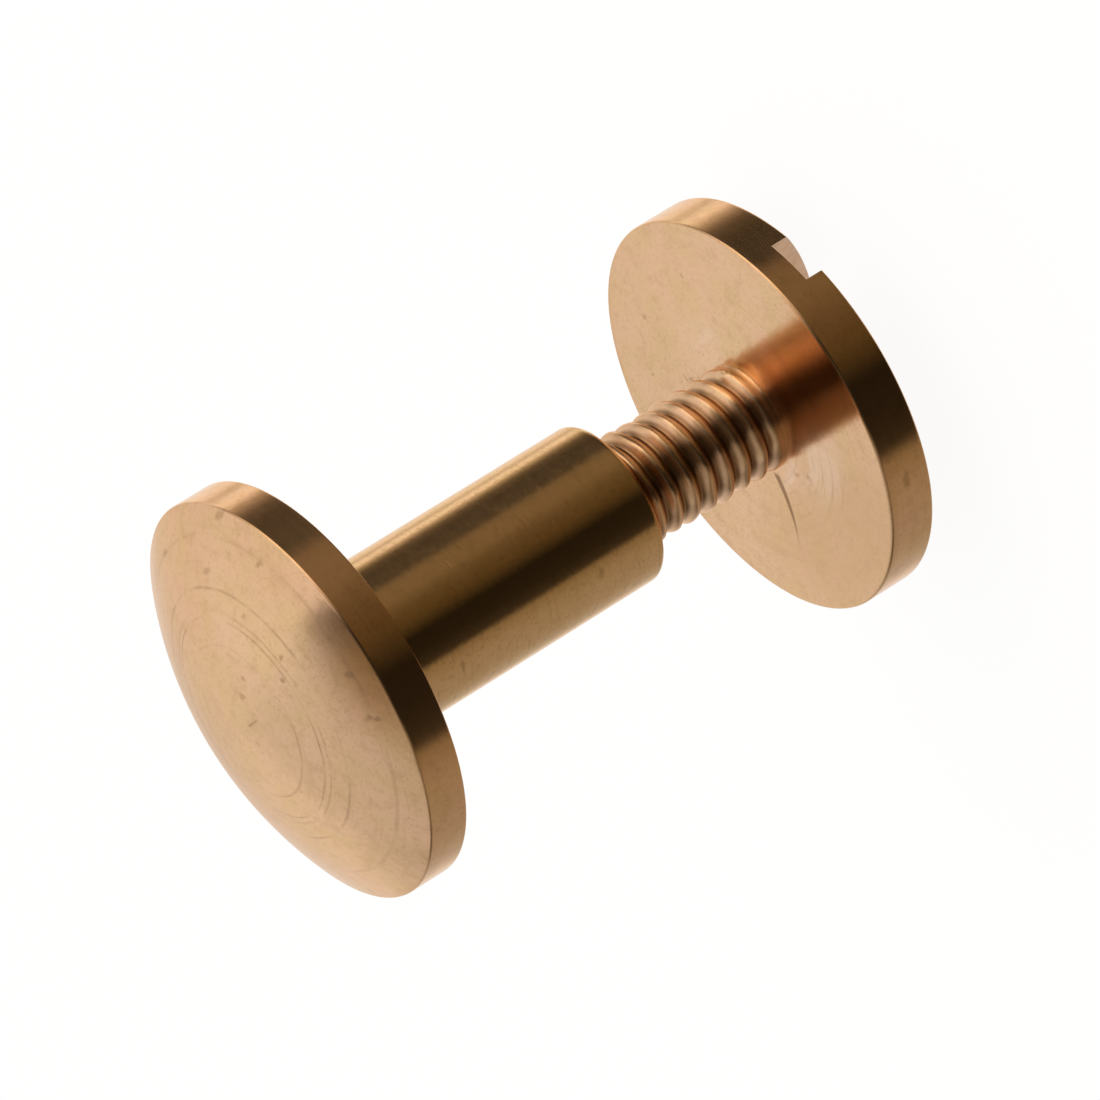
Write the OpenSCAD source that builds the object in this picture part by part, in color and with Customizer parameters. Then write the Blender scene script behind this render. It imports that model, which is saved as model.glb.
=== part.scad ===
// Screw back button stud in turned brass: a domed post with a tapped barrel, and a slotted
// screw that winds into it. Sizes are in millimetres.
// The stud stands upright on its slotted head. Z is the common axis of both pieces, from the
// slotted head at z = 0 up to the top of the plain dome. The slot runs along X.

/* [Heads] */
// Diameter of both heads
head_d = 10; // [8:0.5:14]
// Height of the straight rim round the plain head
post_rim_t = 1; // [0.6:0.1:2]
// Rise of the plain head's dome above its rim
post_dome_h = 1.4; // [0.8:0.1:2]
// Height of the straight rim round the slotted head
screw_rim_t = 1.2; // [0.9:0.1:2]
// Rise of the slotted head's dome above its rim
screw_dome_h = 1.3; // [0.8:0.1:2]
// Broken edge all round each rim
edge_break = 0.08; // [0.04:0.02:0.2]

/* [Slot] */
// Width of the driver slot, sawn straight across the domed side
slot_w = 1.2; // [0.6:0.1:1.8]
// Depth of the slot's floor below the outer edge of the rim
slot_sink = 0.45; // [0.1:0.05:0.6]

/* [Barrel] */
// Outside diameter of the barrel
barrel_d = 4; // [3.8:0.1:6]
// Length of the barrel, from the plain head to its mouth
barrel_l = 8.2; // [7:0.2:12]
// Countersink at the mouth of the bore, measured along the radius
mouth_break = 0.12; // [0.05:0.01:0.2]
// Depth of full bore left ahead of the shank when the stud is closed
bore_spare = 0.6; // [0.3:0.1:1]
// Included angle of the drill point at the bottom of the bore
drill_angle = 118; // [90:2:140]

/* [Thread] */
// Outside diameter of the thread and of the plain shank under the slotted head
thread_d = 2.7; // [2:0.1:3]
// Pitch of the thread
thread_pitch = 0.5; // [0.4:0.05:0.7]
// Depth of the thread, from crest to root
thread_depth = 0.27; // [0.15:0.01:0.35]
// Length of the shank, from the slotted head to its tip
shank_l = 6; // [5:0.25:7.5]
// Length over which the grooves run out under the slotted head
run_out_l = 0.8; // [0.4:0.1:2]
// Length of the taper that starts the thread at the tip
lead_l = 0.6; // [0.4:0.1:1]
// Radial clearance between the thread's crests and the bore
thread_clearance = 0.1; // [0.05:0.01:0.2]

/* [Assembly] */
// Length of the shank that is still inside the barrel, with the stud wound half open
engaged_l = 1.9; // [1:0.1:4.9]

/* [Hidden] */

brass = [0.80, 0.62, 0.45];
slotted_brass = [0.74, 0.55, 0.38];
round_fn = 96;

// Spare length by which a cut runs past the face that it opens
past = 1;
// The shank starts this far inside the slotted head, so that the two are one solid
shank_root = 0.15;

head_r = head_d / 2;
screw_dome_r = dome_radius(screw_dome_h);

// The slot takes away the lowest point of the dome, so the stud stands on the slot's two edges
slot_dip = screw_dome_r - sqrt(pow(screw_dome_r, 2) - pow(slot_w / 2, 2));

screw_rim_z = screw_dome_h - slot_dip;
screw_face_z = screw_rim_z + screw_rim_t;
shank_tip_z = screw_face_z + shank_l;
mouth_z = shank_tip_z - engaged_l;
post_face_z = mouth_z + barrel_l;

bore_r = thread_d / 2 + thread_clearance;
bore_l = shank_l + bore_spare;
drill_point_l = bore_r / tan(drill_angle / 2);

crest_r = thread_d / 2;
root_r = crest_r - thread_depth;
tip_r = root_r - thread_depth / 2;

// Steps round one turn of the thread, and profile points across one pitch
turn_steps = 24;
pitch_steps = 6;
thread_start_z = screw_face_z - shank_root / 2;
turns = floor((shank_tip_z - thread_start_z) / thread_pitch) - 1;

// Radius of the sphere that rises by rise over a head
function dome_radius(rise) = (pow(head_r, 2) + pow(rise, 2)) / (2 * rise);

// Height of the thread's rounded ridge at a share of the pitch, from 0 in the root to 1 on the crest
function ridge(share) = pow((1 - cos(360 * share)) / 2, 0.7);

function limited(x) = max(0, min(1, x));

// How deep the groove is at height z: nothing at the slotted head, full after the run-out
function groove(z) = limited((z - screw_face_z - thread_pitch) / run_out_l);

// How much of the ridge is left at height z: all of it, and nothing at the tip
function lead(z) = limited((shank_tip_z - z) / lead_l);

function thread_radius(z, share) = root_r + thread_depth * (1 - groove(z) * (1 - ridge(share))) * lead(z);

function around(r, step, z) = [r * cos(360 * step / turn_steps), r * sin(360 * step / turn_steps), z];

// Point number i across the pitch, after a number of steps along the helix
function thread_point(step, i) =
    let (share = i / pitch_steps, z = thread_start_z + thread_pitch * (step / turn_steps + share))
    around(thread_radius(z, share), step, z);

// Head with its flat face at z = 0, its rim above that, and its dome on top
module domed_head(rim_t, dome_h) {
    sphere_r = dome_radius(dome_h);
    // The broken edge halves the corner between the rim and the dome
    rim_slope = asin(head_r / sphere_r);
    break_slope = tan(45 + rim_slope / 2);
    top = rim_t + dome_h + past;
    intersection() {
        rotate_extrude($fn = round_fn)
            polygon([
                [0, 0],
                [head_r - edge_break, 0],
                [head_r, edge_break],
                [head_r, rim_t - edge_break],
                [head_r - (top - rim_t + edge_break) / break_slope, top],
                [0, top]
            ]);
        translate([0, 0, rim_t + dome_h - sphere_r])
            sphere(r = sphere_r, $fn = round_fn);
    }
}

// Shank with its helical thread, as one closed skin: a flat ring at the bottom, the helix with
// its groove running in from the head, and a flat tip
module threaded_shank() {
    steps = turns * turn_steps;
    base_z = screw_face_z - shank_root;

    skin = [for (step = [0:steps]) for (i = [0:pitch_steps - 1]) thread_point(step, i)];
    base_ring = [for (step = [0:turn_steps - 1]) around(crest_r, step, base_z)];
    tip_ring = [for (step = [0:turn_steps - 1]) around(tip_r, step, shank_tip_z)];
    centres = [[0, 0, base_z], [0, 0, shank_tip_z]];

    function on_skin(step, i) =
        i < pitch_steps ? step * pitch_steps + i : (step + turn_steps) * pitch_steps;
    function on_base(step) = len(skin) + step % turn_steps;
    function on_tip(step) = len(skin) + turn_steps + step % turn_steps;
    base_centre = len(skin) + 2 * turn_steps;
    tip_centre = base_centre + 1;

    // The last row of a turn joins the first row of the next one, which the last turn lacks
    helix = [
        for (step = [0:steps - 1])
            for (i = [0:pitch_steps - 1])
                if (i < pitch_steps - 1 || step < steps - turn_steps)
                    for (half = [
                        [on_skin(step, i), on_skin(step, i + 1), on_skin(step + 1, i + 1)],
                        [on_skin(step, i), on_skin(step + 1, i + 1), on_skin(step + 1, i)]
                    ]) half
    ];

    // Below the first turn, the ring meets the helix all round and the open profile at its start
    hinge_low = on_skin(turn_steps - 1, 0);
    start_profile = [
        on_base(turn_steps - 1),
        on_base(0),
        for (i = [0:pitch_steps]) on_skin(0, i)
    ];
    base_skirt = [
        for (step = [0:turn_steps - 2])
            for (half = [
                [on_base(step), on_skin(step, 0), on_skin(step + 1, 0)],
                [on_base(step), on_skin(step + 1, 0), on_base(step + 1)]
            ]) half,
        for (k = [0:len(start_profile) - 2])
            [hinge_low, start_profile[k + 1], start_profile[k]]
    ];

    // Above the last turn, the tip ring meets the helix in the same way
    top_row = pitch_steps - 1;
    hinge_high = on_skin(steps - turn_steps + 1, top_row);
    end_profile = [
        on_skin(steps - turn_steps, top_row),
        for (i = [0:top_row]) on_skin(steps, i),
        on_tip(0),
        on_tip(1)
    ];
    tip_skirt = [
        for (step = [1:turn_steps - 1])
            let (at = steps - turn_steps + step)
                for (half = [
                    [on_skin(at, top_row), on_tip(step), on_tip(step + 1)],
                    [on_skin(at, top_row), on_tip(step + 1), on_skin(at + 1, top_row)]
                ]) half,
        for (k = [0:len(end_profile) - 2])
            [hinge_high, end_profile[k], end_profile[k + 1]]
    ];

    ends = [
        for (step = [0:turn_steps - 1])
            for (end = [
                [base_centre, on_base(step), on_base(step + 1)],
                [tip_centre, on_tip(step + 1), on_tip(step)]
            ]) end
    ];

    polyhedron(
        points = concat(skin, base_ring, tip_ring, centres),
        faces = concat(helix, base_skirt, tip_skirt, ends)
    );
}

// Slot sawn right across the domed side, with its floor a little way into the rim
module driver_slot() {
    floor_z = screw_rim_z + slot_sink;
    translate([-head_r - past, -slot_w / 2, -past])
        cube([head_d + 2 * past, slot_w, floor_z + past]);
}

// Slotted head and threaded shank, turned as one piece
module screw() {
    color(slotted_brass) {
        difference() {
            translate([0, 0, screw_face_z])
                mirror([0, 0, 1])
                    domed_head(screw_rim_t, screw_dome_h);
            driver_slot();
        }
        threaded_shank();
    }
}

// Blind bore with its drill point and the countersink at its mouth
module blind_bore() {
    translate([0, 0, mouth_z - past])
        cylinder(r = bore_r, h = bore_l + past, $fn = round_fn);
    translate([0, 0, mouth_z + bore_l])
        cylinder(r1 = bore_r, r2 = 0, h = drill_point_l, $fn = round_fn);
    translate([0, 0, mouth_z])
        cylinder(r1 = bore_r + mouth_break, r2 = bore_r, h = mouth_break, $fn = round_fn);
}

// Plain domed head and barrel, turned as one piece and bored from the barrel's mouth
module post() {
    color(brass)
        difference() {
            union() {
                translate([0, 0, post_face_z])
                    domed_head(post_rim_t, post_dome_h);
                translate([0, 0, mouth_z])
                    cylinder(d = barrel_d, h = barrel_l + post_rim_t / 2, $fn = round_fn);
            }
            blind_bore();
        }
}

screw();
post();
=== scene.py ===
"""Looks of a turned brass screw back stud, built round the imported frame.

The two pieces are turned again as fine meshes on the frame's own axis, with the thread, the
edges and the slot as geometry. Sizes are in millimetres here and become metres in the meshes.
"""
import math

import bmesh
import bpy
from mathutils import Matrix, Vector, noise


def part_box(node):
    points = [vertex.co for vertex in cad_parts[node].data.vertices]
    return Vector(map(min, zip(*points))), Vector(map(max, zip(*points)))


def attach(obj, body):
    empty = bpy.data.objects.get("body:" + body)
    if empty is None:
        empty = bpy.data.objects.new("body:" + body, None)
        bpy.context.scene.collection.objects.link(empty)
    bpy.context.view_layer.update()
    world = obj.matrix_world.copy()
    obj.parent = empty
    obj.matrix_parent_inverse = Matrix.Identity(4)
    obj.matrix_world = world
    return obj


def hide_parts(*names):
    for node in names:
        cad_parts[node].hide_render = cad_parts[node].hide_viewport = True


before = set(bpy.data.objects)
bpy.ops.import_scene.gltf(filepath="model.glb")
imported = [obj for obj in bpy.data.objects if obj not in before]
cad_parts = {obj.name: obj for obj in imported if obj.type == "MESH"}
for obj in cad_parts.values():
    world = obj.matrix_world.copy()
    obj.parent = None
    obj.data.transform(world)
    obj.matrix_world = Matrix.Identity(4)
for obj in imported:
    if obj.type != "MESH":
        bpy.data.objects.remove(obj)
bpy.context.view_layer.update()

MM = 0.001

# Sizes that the frame's boxes don't give, in millimetres
POST_RIM_T = 1.0
POST_DOME_H = 1.4
SCREW_RIM_T = 1.2
SCREW_DOME_H = 1.3
EDGE_R = 0.07
UNDER_EDGE_R = 0.04
SLOT_W = 1.2
SLOT_SINK = 0.45
BARREL_R = 2.0
MOUTH_EDGE_R = 0.14
BORE_R = 1.45
BORE_L = 6.6
MOUTH_BREAK = 0.12
DRILL_HALF_ANGLE = math.radians(59)
CREST_R = 1.35
THREAD_DEPTH = 0.18
PITCH = 0.5
RUN_OUT_L = 0.35
LEAD_L = 0.6
CREST_LAND = 0.05
SHANK_ROOT = 0.15
THREAD_SHIFT = 0.03

# How uneven the crests are, and over what size
CREST_UNEVEN = 0.05
UNEVEN_SCALE = 2.2

# How fine the meshes are
LATHE_STEPS = 256
DOME_STEPS = 44
EDGE_STEPS = 6
PROFILE_GAP = 0.5
TURN_STEPS = 96
PITCH_STEPS = 20
SHARP_ANGLE = math.radians(34)

# Heights that follow from the frame
HEAD_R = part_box("post")[1].x / MM
POST_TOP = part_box("post")[1].z / MM
MOUTH_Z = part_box("post")[0].z / MM
SHANK_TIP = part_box("screw")[1].z / MM
POST_RIM_TOP = POST_TOP - POST_DOME_H
POST_FACE = POST_RIM_TOP - POST_RIM_T


def dome_radius(rise):
    """Radius of the sphere that rises by rise over a head."""
    return (HEAD_R ** 2 + rise ** 2) / (2 * rise)


SCREW_SPHERE = dome_radius(SCREW_DOME_H)
SLOT_DIP = SCREW_SPHERE - math.sqrt(SCREW_SPHERE ** 2 - (SLOT_W / 2) ** 2)
SCREW_RIM_Z = SCREW_DOME_H - SLOT_DIP
SCREW_FACE = SCREW_RIM_Z + SCREW_RIM_T
SLOT_FLOOR = SCREW_RIM_Z + SLOT_SINK

# Camera, as a picture 1100 pixels on a side sees the stud
PICTURE = 1100
TILT = math.radians(24.83)
ROLL = math.radians(31.82)
SLOT_TURN = math.radians(29.4)
HEAD_R_PIXELS = 226.5
NEAR_RIM_AT = (288.9, 701.4)
DISTANCE = HEAD_R * MM / 0.0264
SENSOR = 36.0
CLIP_METRES = (0.01, 100)

# Directions square to the stud's axis: to the camera's side, and to the picture's upper side
TOWARDS = Vector((math.cos(SLOT_TURN), -math.sin(SLOT_TURN), 0))
ACROSS = Vector((math.sin(SLOT_TURN), math.cos(SLOT_TURN), 0))
AXIS = Vector((0, 0, 1))

# Small lump of torn metal where the thread runs out at the slotted head
BURR_TURN = math.radians(55) - SLOT_TURN
BURR_UP = 0.3
BURR_HALF = (0.34, 0.16)
BURR_H = 0.18
BURR_SCALE = 11.0


# Lathe

def dome(rise, rim_z, outward):
    """Profile points of a dome from its top to just short of its edge, which is at rim_z."""
    sphere = dome_radius(rise)
    half = math.asin(HEAD_R / sphere)
    centre = rim_z + outward * (rise - sphere)
    angles = [half * k / DOME_STEPS for k in range(DOME_STEPS)]
    return [(sphere * math.sin(a), centre + outward * sphere * math.cos(a), 0) for a in angles]


def rounded(profile):
    """The profile's points, with an arc between two close support points at each corner that has a radius."""
    points = []
    for k, (r, z, radius) in enumerate(profile):
        here = Vector((r, z))
        if not radius:
            points.append(here)
            continue
        before = (Vector(profile[k - 1][:2]) - here).normalized()
        after = (Vector(profile[k + 1][:2]) - here).normalized()
        half = before.angle(after) / 2
        reach = radius / math.tan(half)
        centre = here + (before + after).normalized() * (radius / math.sin(half))
        start = here + before * reach
        end = here + after * reach
        support = radius * 0.3
        points.append(start + before * support)
        for i in range(EDGE_STEPS + 1):
            chord = start.lerp(end, i / EDGE_STEPS)
            points.append(centre + (chord - centre).normalized() * radius)
        points.append(end + after * support)
    return points


def spaced(points):
    """The same points, with more between them wherever two lie further apart than the gap."""
    out = [points[0]]
    for a, b in zip(points, points[1:]):
        count = max(1, math.ceil((b - a).length / PROFILE_GAP))
        out += [a.lerp(b, i / count) for i in range(1, count + 1)]
    return out


def lathe(name, profile):
    """Turns a profile that starts and ends on the axis into a closed mesh."""
    coords = []
    rings = []
    for r, z in spaced(rounded(profile)):
        ring = []
        for i in range(LATHE_STEPS if r > 1e-6 else 1):
            angle = 2 * math.pi * i / LATHE_STEPS
            ring.append(len(coords))
            coords.append(Vector((r * math.cos(angle), r * math.sin(angle), z)) * MM)
        rings.append(ring)
    faces = []
    for low, high in zip(rings, rings[1:]):
        for i in range(LATHE_STEPS):
            j = (i + 1) % LATHE_STEPS
            if len(low) == 1:
                faces.append((low[0], high[j], high[i]))
            elif len(high) == 1:
                faces.append((low[i], low[j], high[0]))
            else:
                faces.append((low[i], low[j], high[j], high[i]))
    mesh = bpy.data.meshes.new(name)
    mesh.from_pydata(coords, [], faces)
    return shown(name, mesh)


def shown(name, mesh):
    """Puts the mesh in the scene as an object."""
    piece = bpy.data.objects.new(name, mesh)
    bpy.context.scene.collection.objects.link(piece)
    tidy_normals(mesh)
    return piece


def tidy_normals(mesh):
    """Outward faces, smooth but for real corners."""
    work = bmesh.new()
    work.from_mesh(mesh)
    bmesh.ops.recalc_face_normals(work, faces=work.faces)
    work.to_mesh(mesh)
    work.free()
    mesh.shade_smooth()
    mesh.set_sharp_from_angle(angle=SHARP_ANGLE)


def join(piece, other, operation):
    """Adds the other object to the piece, or takes it away from it."""
    step = piece.modifiers.new("join", "BOOLEAN")
    step.operation = operation
    step.solver = "EXACT"
    step.object = other
    graph = bpy.context.evaluated_depsgraph_get()
    done = bpy.data.meshes.new_from_object(piece.evaluated_get(graph))
    used = (piece.data, other.data)
    piece.modifiers.clear()
    piece.data = done
    bpy.data.objects.remove(other)
    for mesh in used:
        bpy.data.meshes.remove(mesh)


# Post

def make_post():
    """Plain domed head and barrel, with its blind bore."""
    drill_l = BORE_R / math.tan(DRILL_HALF_ANGLE)
    profile = dome(POST_DOME_H, POST_RIM_TOP, 1) + [
        (HEAD_R, POST_RIM_TOP, EDGE_R),
        (HEAD_R, POST_FACE, UNDER_EDGE_R),
        (BARREL_R, POST_FACE, 0),
        (BARREL_R, MOUTH_Z, MOUTH_EDGE_R),
        (BORE_R + MOUTH_BREAK, MOUTH_Z, 0),
        (BORE_R, MOUTH_Z + MOUTH_BREAK, 0),
        (BORE_R, MOUTH_Z + BORE_L, 0),
        (0, MOUTH_Z + BORE_L + drill_l, 0),
    ]
    piece = lathe("post_turned", profile)
    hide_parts("post")
    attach(piece, "post")
    return piece


# Screw

def limited(x):
    return max(0.0, min(1.0, x))


def crest_share(share):
    """1 on the crest, which is at half the pitch, and 0 in the root, with rounded corners."""
    away = abs(share - 0.5) * PITCH - CREST_LAND / 2
    fall = limited(away / (PITCH - CREST_LAND) * 2)
    return 1 - fall * fall * (3 - 2 * fall)


def thread_radius(angle, z, share):
    """Radius of the threaded shank, with crests that are a little uneven."""
    above = z - SCREW_FACE
    ridge = crest_share(share)
    groove = limited(above / RUN_OUT_L)
    lead = limited((SHANK_TIP - z) / LEAD_L)
    spot = Vector((math.cos(angle), math.sin(angle), z))
    uneven = CREST_UNEVEN * groove * ridge ** 2 * noise.noise(spot * UNEVEN_SCALE)
    turn = math.remainder(angle - BURR_TURN, 2 * math.pi) * CREST_R
    from_burr = Vector((turn / BURR_HALF[0], (above - BURR_UP) / BURR_HALF[1]))
    lump = BURR_H * limited(1 - from_burr.length) * (0.7 + noise.noise(spot * BURR_SCALE))
    root = CREST_R - THREAD_DEPTH
    return root + (THREAD_DEPTH * (1 - groove * (1 - ridge)) + uneven) * lead + lump


def make_shank():
    """Threaded shank as a skin that follows the helix, cut off square at both ends."""
    start = SCREW_FACE - THREAD_SHIFT - 2 * PITCH
    turns = math.ceil((SHANK_TIP - start) / PITCH) + 1
    steps = turns * TURN_STEPS
    coords = []
    for step in range(steps + 1):
        angle = 2 * math.pi * step / TURN_STEPS
        for i in range(PITCH_STEPS):
            share = i / PITCH_STEPS
            z = start + PITCH * (step / TURN_STEPS + share)
            r = thread_radius(angle, z, share)
            coords.append(Vector((r * math.cos(angle), r * math.sin(angle), z)) * MM)

    def at(step, i):
        return step * PITCH_STEPS + i if i < PITCH_STEPS else (step + TURN_STEPS) * PITCH_STEPS

    faces = []
    for step in range(steps):
        for i in range(PITCH_STEPS):
            if i < PITCH_STEPS - 1 or step < steps - TURN_STEPS:
                faces.append((at(step, i), at(step + 1, i), at(step + 1, i + 1), at(step, i + 1)))
    mesh = bpy.data.meshes.new("shank")
    mesh.from_pydata(coords, [], faces)
    work = bmesh.new()
    work.from_mesh(mesh)
    for height, side in ((SCREW_FACE - SHANK_ROOT, -1), (SHANK_TIP, 1)):
        cut = bmesh.ops.bisect_plane(
            work,
            geom=work.verts[:] + work.edges[:] + work.faces[:],
            plane_co=(0, 0, height * MM),
            plane_no=(0, 0, side),
            clear_outer=True,
        )
        ring = [e for e in cut["geom_cut"] if isinstance(e, bmesh.types.BMEdge)]
        bmesh.ops.contextual_create(work, geom=ring)
    work.to_mesh(mesh)
    work.free()
    return shown("shank", mesh)


def make_slot_cutter():
    """Block that saws the driver slot along X, right across the domed side."""
    past = 1.0
    mesh = bpy.data.meshes.new("slot_cutter")
    work = bmesh.new()
    bmesh.ops.create_cube(work, size=1)
    size = Vector((2 * (HEAD_R + past), SLOT_W, SLOT_FLOOR + past)) * MM
    for v in work.verts:
        v.co = Vector(a * b for a, b in zip(v.co, size))
        v.co.z += (SLOT_FLOOR - past) / 2 * MM
    work.to_mesh(mesh)
    work.free()
    return shown("slot_cutter", mesh)


def make_screw():
    """Slotted domed head and threaded shank."""
    profile = dome(SCREW_DOME_H, SCREW_RIM_Z, -1) + [
        (HEAD_R, SCREW_RIM_Z, EDGE_R),
        (HEAD_R, SCREW_FACE, EDGE_R),
        (0, SCREW_FACE, 0),
    ]
    piece = lathe("screw_turned", profile)
    join(piece, make_shank(), "UNION")
    join(piece, make_slot_cutter(), "DIFFERENCE")
    tidy_normals(piece.data)
    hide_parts("screw")
    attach(piece, "screw")
    return piece


# Shader helpers

def add(tree, kind, inputs=None, **settings):
    """A node of that kind, with its settings and its inputs, which are values or sockets."""
    node = tree.nodes.new(kind)
    for key, value in settings.items():
        setattr(node, key, value)
    for key, value in (inputs or {}).items():
        plug(tree, node.inputs[key], value)
    return node


def plug(tree, socket, value):
    if isinstance(value, bpy.types.NodeSocket):
        tree.links.new(value, socket)
    else:
        socket.default_value = value


def maths(tree, operation, *values):
    return add(tree, "ShaderNodeMath", dict(enumerate(values)), operation=operation).outputs[0]


def vectors(tree, operation, *values):
    return add(tree, "ShaderNodeVectorMath", dict(enumerate(values)), operation=operation).outputs[0]


def dot(tree, vector, fixed):
    node = add(tree, "ShaderNodeVectorMath", {0: vector, 1: fixed}, operation="DOT_PRODUCT")
    return node.outputs["Value"]


def length(tree, x, y):
    squares = [maths(tree, "MULTIPLY", s, s) for s in (x, y)]
    return maths(tree, "SQRT", maths(tree, "ADD", *squares))


def most(tree, values):
    out = values[0]
    for value in values[1:]:
        out = maths(tree, "MAXIMUM", out, value)
    return out


def product(tree, values):
    out = values[0]
    for value in values[1:]:
        out = maths(tree, "MULTIPLY", out, value)
    return out


def mapped(tree, value, low, high, to_low=0.0, to_high=1.0):
    """value from low to high as to_low to to_high, with a soft start and end."""
    inputs = {"Value": value, "From Min": low, "From Max": high, "To Min": to_low, "To Max": to_high}
    return add(tree, "ShaderNodeMapRange", inputs, interpolation_type="SMOOTHSTEP").outputs["Result"]


def mixed(tree, factor, a, b):
    """Colour a where factor is 0 and b where it is 1."""
    node = add(tree, "ShaderNodeMix", data_type="RGBA")
    sockets = [s for s in node.inputs if s.enabled]
    for socket, value in zip(sockets, (factor, a, b)):
        plug(tree, socket, value)
    return next(s for s in node.outputs if s.enabled)


def painted(tree, colour, layers):
    """The colour with layers over it, each given as where it lies, how strong it is, and its own colour."""
    for where, strength, over in layers:
        colour = mixed(tree, maths(tree, "MULTIPLY", where, strength), colour, over)
    return colour


def ramp(tree, value, stops):
    """Colour ramp of (position, colour) stops."""
    node = add(tree, "ShaderNodeValToRGB", {"Fac": value})
    elements = node.color_ramp.elements
    while len(elements) < len(stops):
        elements.new(1)
    for element, (position, colour) in zip(elements, stops):
        element.position = position
        element.color = (*colour, 1)
    return node.outputs["Color"]


def grain(tree, vector, scale, detail=3.0, roughness=0.6, offset=0.0):
    """Noise from 0 to 1 round 0.5."""
    inputs = {"Vector": vector, "W": offset, "Scale": scale, "Detail": detail, "Roughness": roughness}
    return add(tree, "ShaderNodeTexNoise", inputs, noise_dimensions="4D").outputs[0]


# Brass colours
PINK_BRASS = (0.82, 0.525, 0.33, 1)
YELLOW_BRASS = (0.78, 0.52, 0.285, 1)
CLEAN_BRASS = (0.84, 0.57, 0.4, 1)
OLIVE_BRASS = (0.72, 0.52, 0.25, 1)
PALE_BRASS = (0.9, 0.68, 0.55, 1)
SAWN_BRASS = (0.93, 0.76, 0.6, 1)
TARNISH = (0.6, 0.37, 0.19, 1)
DARK_TARNISH = (0.48, 0.28, 0.14, 1)
# Dark brown for grime in the cut lines and marks, and for painted shade in the thread and the corner
GRIME_AND_SHADE = (0.24, 0.12, 0.055, 1)
SPECULAR_TINT = (0.95, 0.85, 0.75, 1)

# Tool marks, as how fine they are across, how fine round the axis, detail and offset
TOOL_MARKS = (9.0, 1.6, 3.0, 0.0)
DASHES = (12.0, 6.0, 2.0, 13.0)
BROAD_MARKS = (2.6, 1.1, 3.0, 7.0)

# Grain, as scale, detail, roughness and offset
SPECKS = (10.0, 2.0, 0.6, 3.0)
MOTTLE = (3.0, 4.0, 0.6, 11.0)
CLOUDS = (0.8, 3.0, 0.6, 5.0)

# Values of each pattern between which a layer comes in
CLOUD_RANGE = (0.35, 0.65)
MOTTLE_RANGE = (0.45, 0.75)
BROAD_RANGE = (0.5, 0.75)
SPECK_RANGE = (0.5, 0.75)
TOOL_RANGE = (0.52, 0.72)
DASH_RANGE = (0.54, 0.74)
SMEAR_RANGE = (0.4, 0.6)
SAWN_RANGE = (0.35, 0.65)

# How strong each layer is. The dark ones have their strength everywhere, and what the barrel has
# on top. The smears and the sawn look have theirs at the two ends of their range
MOTTLE_TARNISH = 0.45
BROAD_TARNISH = 0.3
FLECK_DARK = (0.3, 0.4)
STREAK_DARK = (0.1, 0.3)
DASH_DARK = (0.1, 0.5)
SHANK_CLEAN = 0.3
BARREL_OLIVE = 0.4
STAIN = 0.5
SMEAR = (0.05, 0.4)
SAWN_CLEAN = (0.95, 0.6)
MARK_GRIME = 0.32
# The next three: strength of the painted shade in the thread's roots, on its downward flanks and in the
# corner under the plain head
GROOVE_SHADE = 0.75
UNDER_FLANK = 0.4
CORNER_SHADE = 0.7
SAWN_DULL = 0.5

# Where the painted shade lies: how far a flank faces down, how deep below the crest, and in the corner under
# the plain head, down the barrel and out along the face
UNDER_FACING = (-0.12, -0.45)
ROOT_BELOW = (0.08, 0.16)
CORNER_DOWN = 0.1
CORNER_OUT = 0.12

# Relief in micrometres
BUMP_UNIT = 1e-6
TOOL_RELIEF = 0.5
MOTTLE_RELIEF = 1.0
SPECK_RELIEF = (0.3, 0.8)
MARK_DEPTH = 1.5

# Roughness, and what each pattern adds to it
ROUGH = 0.15
TOOL_ROUGH = 0.06
FLECK_ROUGH = 0.08
MARK_ROUGH = 0.08
SAWN_ROUGH = 0.3
SHANK_ROUGH = 0.06
ANISOTROPIC = 0.9
ANISOTROPIC_TURN = 0.25

# How far a mark's edge strays, and how quickly
RAG = 0.16
RAG_SCALE = 5.0

# How wide the soft edge of a mask is, and how far masks reach past what they cover
SOFT = 0.03
PROUD = 0.04
PAST = 0.05
MARGIN = 0.1
JUST = 0.004

# Where an oval mark starts and is full, in half sizes from its centre
SPOT_EDGE = (1.5, 0.4)

# Fine rings are broken where this grain is low, and stray by this much of a slower one
RING_GAPS = (0.8, 3.0, 0.6)
RING_GAP_EDGE = (0.38, 0.62)
RING_STRAY = (0.5, 1.0, 0.5, 23.0)
RING_STRAY_BY = 0.14

# Rings on the domes, as radius, half width and strength
DOME_RINGS = ((1.9, 0.06, 0.6), (2.5, 0.05, 1), (2.66, 0.05, 0.7), (3.12, 0.06, 0.9), (4.2, 0.08, 0.5))

# Each dome's rings with their centre, a little off the axis, and what sets where they break
POST_RINGS = ((0.33, 0.11), DOME_RINGS, 21.0)
SCREW_RINGS = ((-0.12, 0.2), DOME_RINGS, 37.0)

# Scratch on the slotted head's flat face
SCRATCH_START = (-0.28, -1.42)
SCRATCH_END = (-1.4, -3.3)
SCRATCH_W = 0.13
SCRATCH_BOW = 0.68
SCRATCH_TAPER = 1.1
SCRATCH_EDGE = (1.0, 0.4)
SCRATCH_COMES = (-0.02, 0.04)
SCRATCH_GOES = (1.0, 0.4)

# Faint arcs on the same face, and the oval that they lie in
FACE_ARCS = (
    (1.7, 0.05, 1),
    (2.0, 0.05, 0.7),
    (2.3, 0.06, 1),
    (2.6, 0.05, 0.8),
    (2.95, 0.07, 1),
    (3.3, 0.06, 0.7),
)
FACE_RINGS = ((0, 0), FACE_ARCS, 33.0)
FACE_ARCS_IN = ((1.0, -2.1, 2.48), (1.4, 1.3, 0.5))

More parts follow.
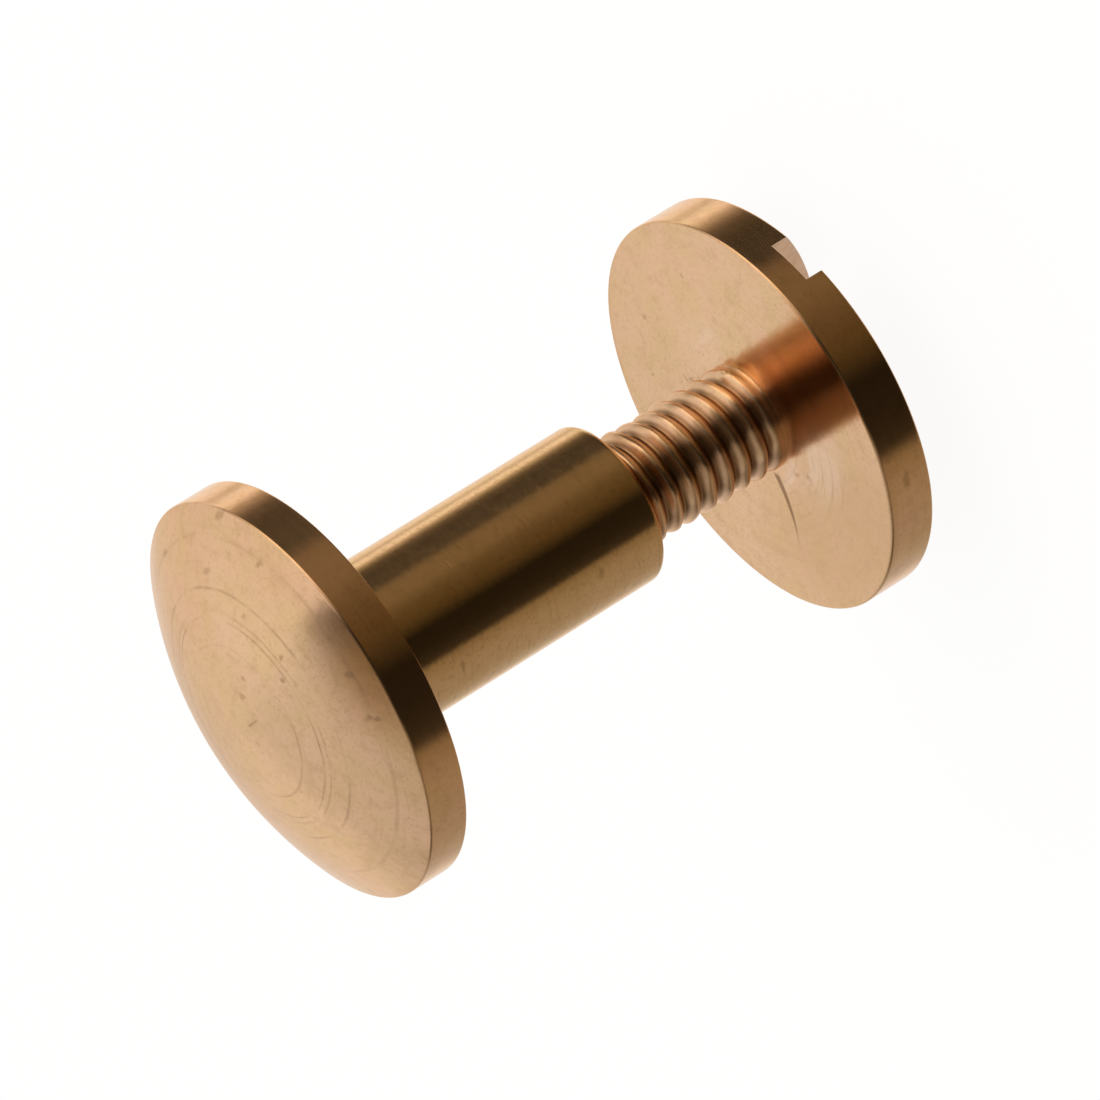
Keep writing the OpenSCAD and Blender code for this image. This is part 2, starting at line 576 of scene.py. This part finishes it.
# How strong the rings and arcs on the slotted head are, beside its scratch
FAINT = 0.3

# Cut lines, as their depth in micrometres and how dark they are
POST_CUT = (1.0, 0.4)
SCREW_CUT = (8.0, 0.85)

# Marks of use, as centre and half size: towards the camera's side, across and up
POST_MARKS = [
    ((1.06, 0.61, 17.1), (0.1, 0.07, 0.4)),
    ((1.44, 0.94, 17.1), (0.06, 0.05, 0.4)),
    ((0.83, 0, 17.1), (0.25, 0.04, 0.4)),
    ((1.52, 3.37, 16.5), (0.16, 0.06, 0.6)),
    ((-0.56, 4.24, 15.9), (0.25, 0.07, 0.6)),
    ((3.39, 2.87, 16.2), (0.12, 0.07, 0.6)),
    ((2.4, 2.07, 16.6), (0.08, 0.06, 0.6)),
    ((3.02, 0.89, 16.7), (0.09, 0.07, 0.6)),
    ((2.7, 0.46, 16.8), (0.07, 0.06, 0.6)),
    ((4.44, -0.2, 16.1), (0.1, 0.08, 0.6)),
    ((4.2, -1.22, 16.0), (0.1, 0.07, 0.6)),
    ((4.32, -1.33, 16.0), (0.1, 0.07, 0.6)),
    ((2.4, 4.25, 15.9), (0.2, 0.08, 0.3)),
    ((1.92, 0.54, 11.3), (0.3, 0.09, 0.06)),
    ((1.87, 0.71, 11.6), (0.3, 0.1, 0.04)),
    ((1.57, -1.23, 8.4), (0.3, 0.15, 0.07)),
    ((1.47, -1.35, 12.4), (0.3, 0.15, 0.05)),
]
SCREW_MARKS = [
    ((-1.8, 3.2, 2.48), (0.08, 0.07, 0.1)),
    ((-1.65, 1.5, 2.48), (0.06, 0.14, 0.1)),
    ((-1.42, 1.42, 2.48), (0.12, 0.06, 0.1)),
    ((0.95, 3.5, 2.48), (0.06, 0.06, 0.1)),
    ((-3.0, 2.0, 2.48), (0.05, 0.05, 0.1)),
    ((0.6, -1.7, 2.48), (0.1, 0.05, 0.1)),
    ((1.0, -1.9, 2.48), (0.07, 0.1, 0.1)),
    ((3.9, -3.0, 1.9), (0.25, 0.25, 0.1)),
]
# Pale smears, and a browner stain, in the same way
SCREW_SMEARS = [
    ((1.6, -1.7, 2.48), (1.3, 0.9, 0.2)),
    ((0.3, -2.0, 2.48), (0.8, 0.4, 0.2)),
    ((0.0, 2.0, 2.48), (0.9, 0.5, 0.2)),
]
SCREW_STAINS = [
    ((1.2, -3.4, 2.48), (3.4, 1.9, 0.2)),
]


# Brass patterns

class Place:
    """Where a point of the surface is, in millimetres, as shader sockets."""

    def __init__(self, tree):
        coords = add(tree, "ShaderNodeTexCoord").outputs
        self.facing_up = dot(tree, coords["Normal"], AXIS)
        self.point = vectors(tree, "MULTIPLY", coords["Object"], (1 / MM,) * 3)
        self.towards = dot(tree, self.point, TOWARDS)
        self.across = dot(tree, self.point, ACROSS)
        self.up = dot(tree, self.point, AXIS)
        self.radius = length(tree, self.towards, self.across)
        inputs = {0: self.towards, 1: self.across, 2: self.up}
        self.local = add(tree, "ShaderNodeCombineXYZ", inputs).outputs[0]
        self.ragged = self.shaken(tree)
        heights = (SCREW_FACE, SHANK_TIP + MARGIN)
        self.shank = self.between(tree, heights, (0, BORE_R - SOFT))
        heights = (MOUTH_Z - MARGIN, POST_FACE)
        self.barrel = self.between(tree, heights, (BARREL_R - 2 * MARGIN, BARREL_R + 2 * SOFT))
        # Painted shade in the corner under the plain head, down the barrel and out along the face
        heights = (POST_FACE - CORNER_DOWN, POST_FACE + PROUD)
        self.corner = self.between(tree, heights, (0, BARREL_R + CORNER_OUT))
        self.groove = self.in_groove(tree)
        self.slot = self.in_slot(tree)

    def shaken(self, tree):
        """The local place moved about a little, so that marks drawn by it have ragged edges."""
        inputs = {"Vector": self.point, "Scale": RAG_SCALE, "Detail": 2.0}
        shake = add(tree, "ShaderNodeTexNoise", inputs).outputs["Color"]
        back = vectors(tree, "SUBTRACT", self.local, (RAG / 2,) * 3)
        return vectors(tree, "MULTIPLY_ADD", shake, (RAG,) * 3, back)

    def between(self, tree, heights, radii):
        """1 between two heights and between two distances from the axis."""
        parts = []
        for value, (low, high) in ((self.up, heights), (self.radius, radii)):
            parts.append(mapped(tree, value, low, low + SOFT))
            parts.append(mapped(tree, value, high, high - SOFT))
        return product(tree, parts)

    def in_groove(self, tree):
        """Painted shade: 1 in the thread's root, and less on its flank that faces down."""
        under = mapped(tree, self.facing_up, *UNDER_FACING, 0.0, UNDER_FLANK)
        root = mapped(tree, maths(tree, "SUBTRACT", CREST_R, self.radius), *ROOT_BELOW)
        return maths(tree, "MULTIPLY", self.shank, maths(tree, "MAXIMUM", under, root))

    def in_slot(self, tree):
        """1 on the slot's sides and floor."""
        y = maths(tree, "ABSOLUTE", add(tree, "ShaderNodeSeparateXYZ", {0: self.point}).outputs["Y"])
        inside = maths(tree, "LESS_THAN", y, SLOT_W / 2 + JUST)
        low = maths(tree, "LESS_THAN", self.up, SLOT_FLOOR + JUST)
        return maths(tree, "MULTIPLY", inside, low)


def rings(tree, place, fine, slow, detail, offset):
    """Noise drawn out round the axis, like the marks of a lathe tool."""
    radius = maths(tree, "MAXIMUM", place.radius, PAST)
    cosine = maths(tree, "DIVIDE", place.towards, radius)
    sine = maths(tree, "DIVIDE", place.across, radius)
    inputs = {
        0: maths(tree, "MULTIPLY", place.radius, fine),
        1: maths(tree, "MULTIPLY", place.up, fine),
        2: maths(tree, "MULTIPLY", cosine, slow),
    }
    vector = add(tree, "ShaderNodeCombineXYZ", inputs).outputs[0]
    return grain(tree, vector, 1.0, detail, 0.7, maths(tree, "MULTIPLY_ADD", sine, slow, offset))


def spot(tree, vector, centre, size):
    """1 inside an oval mark and 0 outside. Both are given towards the camera's side, across and up."""
    scaled = vectors(tree, "DIVIDE", vectors(tree, "SUBTRACT", vector, centre), size)
    far = add(tree, "ShaderNodeVectorMath", {0: scaled}, operation="LENGTH").outputs["Value"]
    return mapped(tree, far, *SPOT_EDGE)


def fine_rings(tree, place, centre, rows, seed):
    """Fine rings round a point, a little uneven and broken here and there."""
    x = maths(tree, "SUBTRACT", place.towards, centre[0])
    y = maths(tree, "SUBTRACT", place.across, centre[1])
    patchy = mapped(tree, grain(tree, place.point, *RING_GAPS, seed), *RING_GAP_EDGE)
    slow = grain(tree, place.point, *RING_STRAY)
    stray = maths(tree, "MULTIPLY_ADD", slow, RING_STRAY_BY, -RING_STRAY_BY / 2)
    away = maths(tree, "ADD", length(tree, x, y), stray)
    lines = []
    for radius, half, strength in rows:
        off = maths(tree, "ABSOLUTE", maths(tree, "SUBTRACT", away, radius))
        lines.append(mapped(tree, off, half, 0.0, 0.0, strength))
    return maths(tree, "MULTIPLY", most(tree, lines), patchy)


def post_rings(tree, place):
    """Rings on the plain dome."""
    on_dome = mapped(tree, place.up, POST_RIM_TOP - PAST, POST_RIM_TOP + PAST)
    return maths(tree, "MULTIPLY", fine_rings(tree, place, *POST_RINGS), on_dome)


def screw_rings(tree, place):
    """Faint rings on the slotted dome."""
    on_dome = mapped(tree, place.up, SCREW_RIM_Z + PAST, SCREW_RIM_Z - PAST, 0.0, FAINT)
    return maths(tree, "MULTIPLY", fine_rings(tree, place, *SCREW_RINGS), on_dome)


def scratch(tree, place):
    """A bowed scratch that thins out towards its end."""
    start = Vector(SCRATCH_START)
    run = Vector(SCRATCH_END) - start
    along = run.normalized()
    side = Vector((-along.y, along.x))
    share = dot(tree, place.local, (along.x / run.length, along.y / run.length, 0))
    share = maths(tree, "SUBTRACT", share, start.dot(along) / run.length)
    off = maths(tree, "SUBTRACT", dot(tree, place.local, (side.x, side.y, 0)), start.dot(side))
    bow = product(tree, [share, maths(tree, "SUBTRACT", share, 1.0), SCRATCH_BOW])
    away = maths(tree, "ABSOLUTE", maths(tree, "ADD", off, bow))
    half = maths(tree, "MULTIPLY", maths(tree, "SUBTRACT", SCRATCH_TAPER, share), SCRATCH_W)
    line = mapped(tree, maths(tree, "DIVIDE", away, half), *SCRATCH_EDGE)
    ends = [mapped(tree, share, *end) for end in (SCRATCH_COMES, SCRATCH_GOES)]
    return product(tree, [line, *ends])


def screw_lines(tree, place):
    """A scratch and faint arcs on the slotted head's flat face, and rings on its dome."""
    arcs = maths(tree, "MULTIPLY", fine_rings(tree, place, *FACE_RINGS), FAINT)
    arcs = maths(tree, "MULTIPLY", arcs, spot(tree, place.local, *FACE_ARCS_IN))
    marks = maths(tree, "MAXIMUM", scratch(tree, place), arcs)
    on_face = place.between(tree, (SCREW_FACE - PAST, SCREW_FACE + PROUD), (0, HEAD_R + MARGIN))
    return maths(tree, "MULTIPLY_ADD", marks, on_face, screw_rings(tree, place))


class Patterns:
    """The patterns of wear and tool marks on one piece, as shader sockets."""

    def __init__(self, tree, place, marks, lines):
        self.tool = rings(tree, place, *TOOL_MARKS)
        self.dashes = rings(tree, place, *DASHES)
        self.broad = rings(tree, place, *BROAD_MARKS)
        self.speck = grain(tree, place.point, *SPECKS)
        self.mottle = grain(tree, place.point, *MOTTLE)
        self.cloud = grain(tree, place.point, *CLOUDS)
        self.mark = most(tree, [spot(tree, place.ragged, centre, size) for centre, size in marks])
        self.line = lines(tree, place)
        self.fleck = more_on_barrel(tree, place, mapped(tree, self.speck, *SPECK_RANGE), FLECK_DARK)


def more_on_barrel(tree, place, value, strength):
    """value times a strength that is given as what it is everywhere, and what the barrel has on top."""
    everywhere, on_barrel = strength
    share = maths(tree, "MULTIPLY_ADD", place.barrel, on_barrel, everywhere)
    return maths(tree, "MULTIPLY", value, share)


# Brass

def brass_colour(tree, place, wear, line_dark, smears, stains):
    """Two tones of brass under a thin uneven tarnish, with grime in the cut lines and marks, and painted
    shade in the thread's grooves and the corner under the plain head.
    """
    streak = more_on_barrel(tree, place, mapped(tree, wear.tool, *TOOL_RANGE), STREAK_DARK)
    dash = more_on_barrel(tree, place, mapped(tree, wear.dashes, *DASH_RANGE), DASH_DARK)
    sawn = mapped(tree, wear.mottle, *SAWN_RANGE, *SAWN_CLEAN)
    smeared = mapped(tree, wear.broad, *SMEAR_RANGE, *SMEAR)
    colour = mixed(tree, mapped(tree, wear.cloud, *CLOUD_RANGE), PINK_BRASS, YELLOW_BRASS)
    layers = [
        (mapped(tree, wear.mottle, *MOTTLE_RANGE), MOTTLE_TARNISH, TARNISH),
        (mapped(tree, wear.broad, *BROAD_RANGE), BROAD_TARNISH, TARNISH),
        (wear.fleck, 1.0, DARK_TARNISH),
        (streak, 1.0, DARK_TARNISH),
        (dash, 1.0, DARK_TARNISH),
        (place.shank, SHANK_CLEAN, CLEAN_BRASS),
        (place.barrel, BARREL_OLIVE, OLIVE_BRASS),
    ]
    layers += [(spot(tree, place.ragged, *stain), STAIN, TARNISH) for stain in stains]
    layers += [(spot(tree, place.ragged, *smear), smeared, PALE_BRASS) for smear in smears]
    layers += [
        (place.slot, sawn, SAWN_BRASS),
        (wear.line, line_dark, GRIME_AND_SHADE),
        (wear.mark, MARK_GRIME, GRIME_AND_SHADE),
        # Painted shade in the thread's roots and downward flanks, and in the corner under the plain head
        (place.groove, GROOVE_SHADE, GRIME_AND_SHADE),
        (place.corner, CORNER_SHADE, GRIME_AND_SHADE),
    ]
    return painted(tree, colour, layers)


def brass_height(tree, place, wear, line_depth):
    """Height of the surface in micrometres."""
    height = maths(tree, "MULTIPLY", wear.tool, TOOL_RELIEF)
    height = maths(tree, "MULTIPLY_ADD", wear.mottle, MOTTLE_RELIEF, height)
    height = maths(tree, "ADD", more_on_barrel(tree, place, wear.speck, SPECK_RELIEF), height)
    height = maths(tree, "MULTIPLY_ADD", wear.mark, -MARK_DEPTH, height)
    return maths(tree, "MULTIPLY_ADD", wear.line, -line_depth, height)


def brass_roughness(tree, place, wear):
    parts = (
        (wear.tool, TOOL_ROUGH),
        (wear.fleck, FLECK_ROUGH),
        (wear.mark, MARK_ROUGH),
        (place.slot, SAWN_ROUGH),
        (place.shank, SHANK_ROUGH),
    )
    rough = ROUGH
    for value, more in parts:
        rough = maths(tree, "MULTIPLY_ADD", value, more, rough)
    return rough


def turned_brass(name, marks, lines, cut, smears=(), stains=()):
    """Bare turned brass. lines draws this piece's cut lines, and cut is their depth and darkness."""
    material = bpy.data.materials.new(name)
    material.use_nodes = True
    tree = material.node_tree
    sockets = tree.nodes["Principled BSDF"].inputs
    place = Place(tree)
    wear = Patterns(tree, place, marks, lines)
    line_depth, line_dark = cut
    height = brass_height(tree, place, wear, line_depth)
    bump = add(tree, "ShaderNodeBump", {"Strength": 1.0, "Distance": BUMP_UNIT, "Height": height})
    around = add(tree, "ShaderNodeTangent", direction_type="RADIAL", axis="Z")
    sockets["Anisotropic"].default_value = ANISOTROPIC
    sockets["Anisotropic Rotation"].default_value = ANISOTROPIC_TURN
    sockets["Specular Tint"].default_value = SPECULAR_TINT
    plug(tree, sockets["Metallic"], maths(tree, "MULTIPLY_ADD", place.slot, -SAWN_DULL, 1.0))
    plug(tree, sockets["Base Color"], brass_colour(tree, place, wear, line_dark, smears, stains))
    plug(tree, sockets["Roughness"], brass_roughness(tree, place, wear))
    plug(tree, sockets["Normal"], bump.outputs[0])
    plug(tree, sockets["Tangent"], around.outputs[0])
    return material


# Light and floor

# The studio round the stud, as angle, brightness and warmth. The angle goes round the stud's
# axis from the camera's side to the picture's upper side

# Low: what the barrel and the rims mirror
LOW_CARDS = [
    (-180, 1.0, 0),
    (-162, 1.0, 0.05),
    (-144, 0.58, 0),
    (-120, 0.45, 0.35),
    (-80, 0.39, 0.55),
    (-61, 0.29, 0.75),
    (-55, 0.03, 0.8),
    (-14, 0.02, 0.8),
    (6, 0.12, 1),
    (40, 0.19, 0.85),
    (61, 0.15, 0.85),
    (69, 0.02, 0.7),
    (92, 0.03, 0.7),
    (106, 0.1, 0.75),
    (115, 0.5, 0.6),
    (122, 1.25, 0.25),
    (130, 1.1, 0.05),
    (134, 0.68, 0.4),
    (138, 0.8, 0.35),
    (143, 1.12, 0.2),
    (160, 1.1, 0.05),
    (180, 1.0, 0),
]
# A little above the stud: what the mirrored shank shows
HIGH_CARDS = [
    (-180, 0.88, 0),
    (-164, 0.92, 0),
    (-140, 0.5, 0.1),
    (-118, 0.17, 0.5),
    (-76, 0.24, 0.6),
    (-50, 0.2, 0.6),
    (-36, 0.02, 0.5),
    (14, 0.02, 0.5),
    (24, 0.12, 0.5),
    (36, 0.8, 0.55),
    (54, 1.6, 0.55),
    (78, 1.45, 0.5),
    (96, 0.8, 0.4),
    (112, 0.5, 0.3),
    (126, 0.8, 0.15),
    (160, 0.9, 0.1),
    (180, 0.88, 0),
]
# High up: what the domes show
TOP_CARDS = [
    (-180, 0.82, 0),
    (-135, 0.66, 0.05),
    (-100, 0.45, 0.25),
    (-62, 0.36, 0.3),
    (-44, 0.08, 0.6),
    (14, 0.07, 0.6),
    (44, 0.4, 0.4),
    (64, 1.05, 0.15),
    (130, 0.87, 0.15),
    (163, 0.96, 0),
    (180, 0.82, 0),
]
# Overhead, from the lower side of the picture to its upper side
OVERHEAD = [
    (-0.5, 0.6, 0.15),
    (-0.17, 0.36, 0.75),
    (0, 0.25, 1),
    (0.12, 0.12, 1),
    (0.25, 0.06, 1),
]
CAMERA_SIDE = (0.06, 0.045, 0.03, 1)

# Heights over which one row of cards passes into the next, as parts of a unit direction
LOW_TO_HIGH = (-0.28, 0.0)
HIGH_TO_TOP = (0.46, 0.6)

# The tent's opening: how high it starts, and its edges across and towards the camera's side
OPENING_UP = (0.86, 0.93)
OPENING_ACROSS = (0.25, 0.23)
OPENING_TOWARDS = (-0.34, -0.22)
OPENING_MIDDLE = (-0.06, 0.06)

# What the camera sees behind the stud
BACKDROP = (0.95, 0.95, 0.95, 1)

# What full warmth takes from a light's green and blue
AMBER = (0.34, 0.75)

# Floor, its radius in metres
FLOOR_R = 20
FLOOR_GREY = (0.15, 0.15, 0.15, 1)
FLOOR_GLOW = 0.93


def tone(brightness, warmth):
    """White light at warmth 0, amber at 1."""
    green, blue = (brightness * (1 - cut * warmth) for cut in AMBER)
    return (brightness, green, blue)


def make_light():
    """A white tent that is open, and so darker, above the stud and on the camera's side."""
    world = bpy.data.worlds.new("studio")
    bpy.context.scene.world = world
    world.use_nodes = True
    tree = world.node_tree
    tree.nodes.clear()
    way = add(tree, "ShaderNodeTexCoord").outputs["Generated"]
    towards = dot(tree, way, TOWARDS)
    across = dot(tree, way, ACROSS)
    height = dot(tree, way, AXIS)
    turn = maths(tree, "ARCTAN2", across, towards)
    place = maths(tree, "MULTIPLY_ADD", turn, 1 / (2 * math.pi), 0.5)
    low, high, top = [
        ramp(tree, place, [(angle / 360 + 0.5, tone(*light)) for angle, *light in cards])
        for cards in (LOW_CARDS, HIGH_CARDS, TOP_CARDS)
    ]
    stops = [(y + 0.5, tone(*light)) for y, *light in OVERHEAD]
    over = ramp(tree, maths(tree, "ADD", across, 0.5), stops)
    over = mixed(tree, mapped(tree, towards, *OPENING_MIDDLE), over, CAMERA_SIDE)
    edges = ((height, OPENING_UP), (across, OPENING_ACROSS), (towards, OPENING_TOWARDS))
    opening = product(tree, [mapped(tree, value, *edge) for value, edge in edges])
    light = mixed(tree, mapped(tree, height, *LOW_TO_HIGH), low, high)
    light = mixed(tree, mapped(tree, height, *HIGH_TO_TOP), light, top)
    light = mixed(tree, opening, light, over)
    background = add(tree, "ShaderNodeBackground", {"Color": light, "Strength": 1.0})
    plain = add(tree, "ShaderNodeBackground", {"Color": BACKDROP, "Strength": 1.0})
    seen = add(tree, "ShaderNodeLightPath").outputs["Is Camera Ray"]
    both = add(tree, "ShaderNodeMixShader", {0: seen, 1: background.outputs[0], 2: plain.outputs[0]})
    add(tree, "ShaderNodeOutputWorld", {"Surface": both.outputs[0]})


def make_floor():
    """Plain pale floor. The brass doesn't mirror it: what it would show there is in the low cards."""
    mesh = bpy.data.meshes.new("floor")
    work = bmesh.new()
    bmesh.ops.create_circle(work, cap_ends=True, radius=FLOOR_R, segments=64)
    work.to_mesh(mesh)
    work.free()
    floor = bpy.data.objects.new("floor", mesh)
    bpy.context.scene.collection.objects.link(floor)
    material = bpy.data.materials.new("floor_white")
    material.use_nodes = True
    sockets = material.node_tree.nodes["Principled BSDF"].inputs
    sockets["Base Color"].default_value = FLOOR_GREY
    sockets["Roughness"].default_value = 1
    sockets["Specular IOR Level"].default_value = 0
    sockets["Emission Color"].default_value = (1, 1, 1, 1)
    sockets["Emission Strength"].default_value = FLOOR_GLOW
    mesh.materials.append(material)
    floor.visible_glossy = False
    floor.visible_shadow = False


def make_camera():
    """Looks down on the stud from the plain head's side, rolled so that the axis runs up to the right."""
    forward = -math.sin(TILT) * AXIS - math.cos(TILT) * TOWARDS
    along = (-AXIS - math.sin(TILT) * forward) / math.cos(TILT)
    right = math.cos(ROLL) * along - math.sin(ROLL) * ACROSS
    up = math.sin(ROLL) * along + math.cos(ROLL) * ACROSS
    pixel = HEAD_R * MM / HEAD_R_PIXELS
    x = (NEAR_RIM_AT[0] - PICTURE / 2) * pixel
    y = (PICTURE / 2 - NEAR_RIM_AT[1]) * pixel
    data = bpy.data.cameras.new("camera")
    data.sensor_width = SENSOR
    data.lens = DISTANCE / pixel / PICTURE * SENSOR
    data.clip_start, data.clip_end = CLIP_METRES
    camera = bpy.data.objects.new("camera", data)
    matrix = camera.matrix_world.to_3x3()
    matrix.col[0] = right
    matrix.col[1] = up
    matrix.col[2] = -forward
    camera.matrix_world = matrix.to_4x4()
    camera.location = AXIS * POST_RIM_TOP * MM - x * right - y * up - DISTANCE * forward
    bpy.context.scene.collection.objects.link(camera)
    bpy.context.scene.camera = camera


def dress(piece, material):
    piece.data.materials.clear()
    piece.data.materials.append(material)


make_camera()
make_light()
make_floor()
bpy.context.scene.view_settings.view_transform = "Standard"
post_brass = turned_brass("post_brass", POST_MARKS, post_rings, POST_CUT)
screw_brass = turned_brass("screw_brass", SCREW_MARKS, screw_lines, SCREW_CUT, SCREW_SMEARS, SCREW_STAINS)
dress(make_post(), post_brass)
dress(make_screw(), screw_brass)
